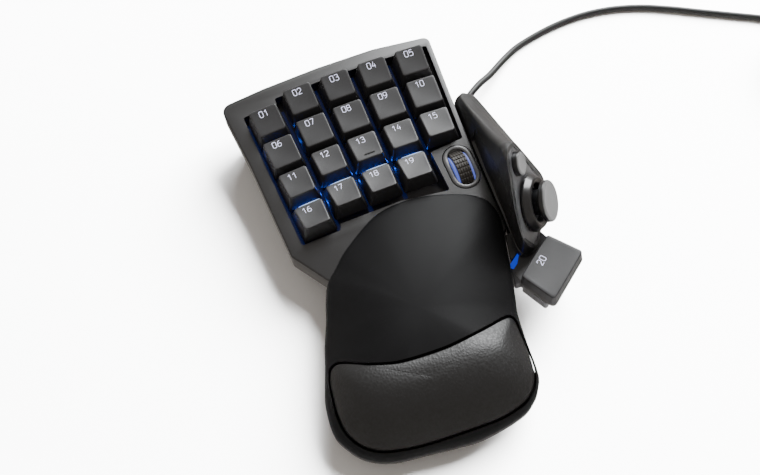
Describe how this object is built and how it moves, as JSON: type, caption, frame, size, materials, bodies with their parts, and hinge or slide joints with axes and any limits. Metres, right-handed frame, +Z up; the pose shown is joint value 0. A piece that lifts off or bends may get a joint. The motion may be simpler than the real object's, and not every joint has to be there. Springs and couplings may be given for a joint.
{
  "type": "one-handed gaming keypad",
  "caption": "Left-hand gaming keypad with a fanned block of sprung keys, scroll wheel, thumb pod with tilting pad, thumb key, sliding cushioned palm rest and USB cable.",
  "frame": {"origin": "on the table, under the middle of the keypad without its cable", "axes": "+X to the right hand side where the thumb pod is, +Y away from the user, +Z up"},
  "size_m": [0.3393, 0.2096, 0.0584],
  "materials": {
    "board_laminate": "green solder mask",
    "cable_jacket": "matt extruded jacket",
    "case_plastic": "dark grey satin",
    "cushion_leather": "fine grained imitation leather",
    "gloss_plastic": "piano black",
    "key_plastic": "satin, finely textured",
    "light_guide": "frosted, light diffusing",
    "lower_plastic": "matt, fine spark texture",
    "panel_plastic": "soft satin grey",
    "rubber": "matt moulded rubber",
    "silicone": "translucent silicone rubber",
    "soft_coating": "soft-touch coating",
    "steel": "ground steel"
  },
  "bodies": {
    "base": {"bottom_case": "lower_plastic", "cable_coil": "cable_jacket", "cable_lead": "cable_jacket", "cable_strain_relief": "rubber", "cable_tie": "rubber", "case_foot_1": "rubber", "case_foot_2": "rubber", "case_foot_3": "rubber", "case_screw_1": "steel", "case_screw_2": "steel", "case_screw_3": "steel", "key_deck": "lower_plastic", "key_membrane": "silicone", "main_circuit_board": "board_laminate", "mode_switch": "gloss_plastic", "pod_panel": "panel_plastic", "thumb_base": "lower_plastic", "thumb_circuit_board": "board_laminate", "thumb_foot": "rubber", "thumb_housing": "case_plastic", "thumb_key_arm": "lower_plastic", "thumbpad_collar": "gloss_plastic", "thumbpad_mount": "lower_plastic", "top_case": "case_plastic", "usb_plug_body": "cable_jacket", "usb_plug_shell": "steel", "wheel_bezel": "gloss_plastic"},
    "key_01": {"keycap_01": "key_plastic"},
    "key_02": {"keycap_02": "key_plastic"},
    "key_03": {"keycap_03": "key_plastic"},
    "key_04": {"keycap_04": "key_plastic"},
    "key_05": {"keycap_05": "key_plastic"},
    "key_06": {"keycap_06": "key_plastic"},
    "key_07": {"keycap_07": "key_plastic"},
    "key_08": {"keycap_08": "key_plastic"},
    "key_09": {"keycap_09": "key_plastic"},
    "key_10": {"keycap_10": "key_plastic"},
    "key_11": {"keycap_11": "key_plastic"},
    "key_12": {"keycap_12": "key_plastic"},
    "key_13": {"keycap_13": "key_plastic"},
    "key_14": {"keycap_14": "key_plastic"},
    "key_15": {"keycap_15": "key_plastic"},
    "key_16": {"keycap_16": "key_plastic"},
    "key_17": {"keycap_17": "key_plastic"},
    "key_18": {"keycap_18": "key_plastic"},
    "key_19": {"keycap_19": "key_plastic"},
    "key_20": {"keycap_20": "key_plastic"},
    "wheel_carrier": {"wheel_bracket": "lower_plastic", "wheel_axle": "steel"},
    "wheel": {"scroll_wheel": "light_guide", "wheel_tyre": "rubber"},
    "pad_ring": {"thumbpad_gimbal": "steel"},
    "pad": {"thumbpad_stem": "gloss_plastic", "thumbpad_cap": "panel_plastic"},
    "mode": {"mode_button": "panel_plastic"},
    "palm": {"palm_rest": "soft_coating", "palm_cushion": "cushion_leather", "palm_base": "lower_plastic", "palm_foot_1": "rubber", "palm_foot_2": "rubber"}
  },
  "joints": [
    {"name": "key_01_press", "type": "slide", "parent": "base", "child": "key_01", "axis": [0, -0.0698, 0.9976], "range_m": [-0.0035, 0], "stiffness_N_per_m": 150},
    {"name": "key_02_press", "type": "slide", "parent": "base", "child": "key_02", "axis": [0, -0.0698, 0.9976], "range_m": [-0.0035, 0], "stiffness_N_per_m": 150},
    {"name": "key_03_press", "type": "slide", "parent": "base", "child": "key_03", "axis": [0, -0.0698, 0.9976], "range_m": [-0.0035, 0], "stiffness_N_per_m": 150},
    {"name": "key_04_press", "type": "slide", "parent": "base", "child": "key_04", "axis": [0, -0.0698, 0.9976], "range_m": [-0.0035, 0], "stiffness_N_per_m": 150},
    {"name": "key_05_press", "type": "slide", "parent": "base", "child": "key_05", "axis": [0, -0.0698, 0.9976], "range_m": [-0.0035, 0], "stiffness_N_per_m": 150},
    {"name": "key_06_press", "type": "slide", "parent": "base", "child": "key_06", "axis": [0, -0.0698, 0.9976], "range_m": [-0.0035, 0], "stiffness_N_per_m": 150},
    {"name": "key_07_press", "type": "slide", "parent": "base", "child": "key_07", "axis": [0, -0.0698, 0.9976], "range_m": [-0.0035, 0], "stiffness_N_per_m": 150},
    {"name": "key_08_press", "type": "slide", "parent": "base", "child": "key_08", "axis": [0, -0.0698, 0.9976], "range_m": [-0.0035, 0], "stiffness_N_per_m": 150},
    {"name": "key_09_press", "type": "slide", "parent": "base", "child": "key_09", "axis": [0, -0.0698, 0.9976], "range_m": [-0.0035, 0], "stiffness_N_per_m": 150},
    {"name": "key_10_press", "type": "slide", "parent": "base", "child": "key_10", "axis": [0, -0.0698, 0.9976], "range_m": [-0.0035, 0], "stiffness_N_per_m": 150},
    {"name": "key_11_press", "type": "slide", "parent": "base", "child": "key_11", "axis": [0, -0.0698, 0.9976], "range_m": [-0.0035, 0], "stiffness_N_per_m": 150},
    {"name": "key_12_press", "type": "slide", "parent": "base", "child": "key_12", "axis": [0, -0.0698, 0.9976], "range_m": [-0.0035, 0], "stiffness_N_per_m": 150},
    {"name": "key_13_press", "type": "slide", "parent": "base", "child": "key_13", "axis": [0, -0.0698, 0.9976], "range_m": [-0.0035, 0], "stiffness_N_per_m": 150},
    {"name": "key_14_press", "type": "slide", "parent": "base", "child": "key_14", "axis": [0, -0.0698, 0.9976], "range_m": [-0.0035, 0], "stiffness_N_per_m": 150},
    {"name": "key_15_press", "type": "slide", "parent": "base", "child": "key_15", "axis": [0, -0.0698, 0.9976], "range_m": [-0.0035, 0], "stiffness_N_per_m": 150},
    {"name": "key_16_press", "type": "slide", "parent": "base", "child": "key_16", "axis": [0, -0.0698, 0.9976], "range_m": [-0.0035, 0], "stiffness_N_per_m": 150},
    {"name": "key_17_press", "type": "slide", "parent": "base", "child": "key_17", "axis": [0, -0.0698, 0.9976], "range_m": [-0.0035, 0], "stiffness_N_per_m": 150},
    {"name": "key_18_press", "type": "slide", "parent": "base", "child": "key_18", "axis": [0, -0.0698, 0.9976], "range_m": [-0.0035, 0], "stiffness_N_per_m": 150},
    {"name": "key_19_press", "type": "slide", "parent": "base", "child": "key_19", "axis": [0, -0.0698, 0.9976], "range_m": [-0.0035, 0], "stiffness_N_per_m": 150},
    {"name": "key_20_press", "type": "slide", "parent": "base", "child": "key_20", "axis": [0, 0, 1], "range_m": [-0.0022, 0], "stiffness_N_per_m": 250},
    {"name": "wheel_click", "type": "slide", "parent": "base", "child": "wheel_carrier", "axis": [0, -0.0698, 0.9976], "range_m": [-0.0006, 0], "stiffness_N_per_m": 1500},
    {"name": "wheel_spin", "type": "hinge", "parent": "wheel_carrier", "child": "wheel", "pos_m": [0.03474, 0.02208, 0.01754], "axis": [1, 0, 0], "continuous": true},
    {"name": "pad_tilt_across", "type": "hinge", "parent": "base", "child": "pad_ring", "pos_m": [0.05125, -0.0113, 0.02805], "axis": [0.515, 0.8572, 0], "range_deg": [-8, 8], "stiffness_Nm_per_rad": 0.07},
    {"name": "pad_tilt_along", "type": "hinge", "parent": "pad_ring", "child": "pad", "pos_m": [0.05125, -0.0113, 0.02805], "axis": [-0.3486, 0.2095, 0.9135], "range_deg": [-8, 8], "stiffness_Nm_per_rad": 0.07},
    {"name": "mode_press", "type": "slide", "parent": "base", "child": "mode", "axis": [0.7831, -0.4705, 0.4067], "range_m": [-0.0008, 0], "stiffness_N_per_m": 1000},
    {"name": "palm_slide", "type": "slide", "parent": "base", "child": "palm", "axis": [-0.2419, -0.9703, 0], "range_m": [0, 0.02]}
  ]
}
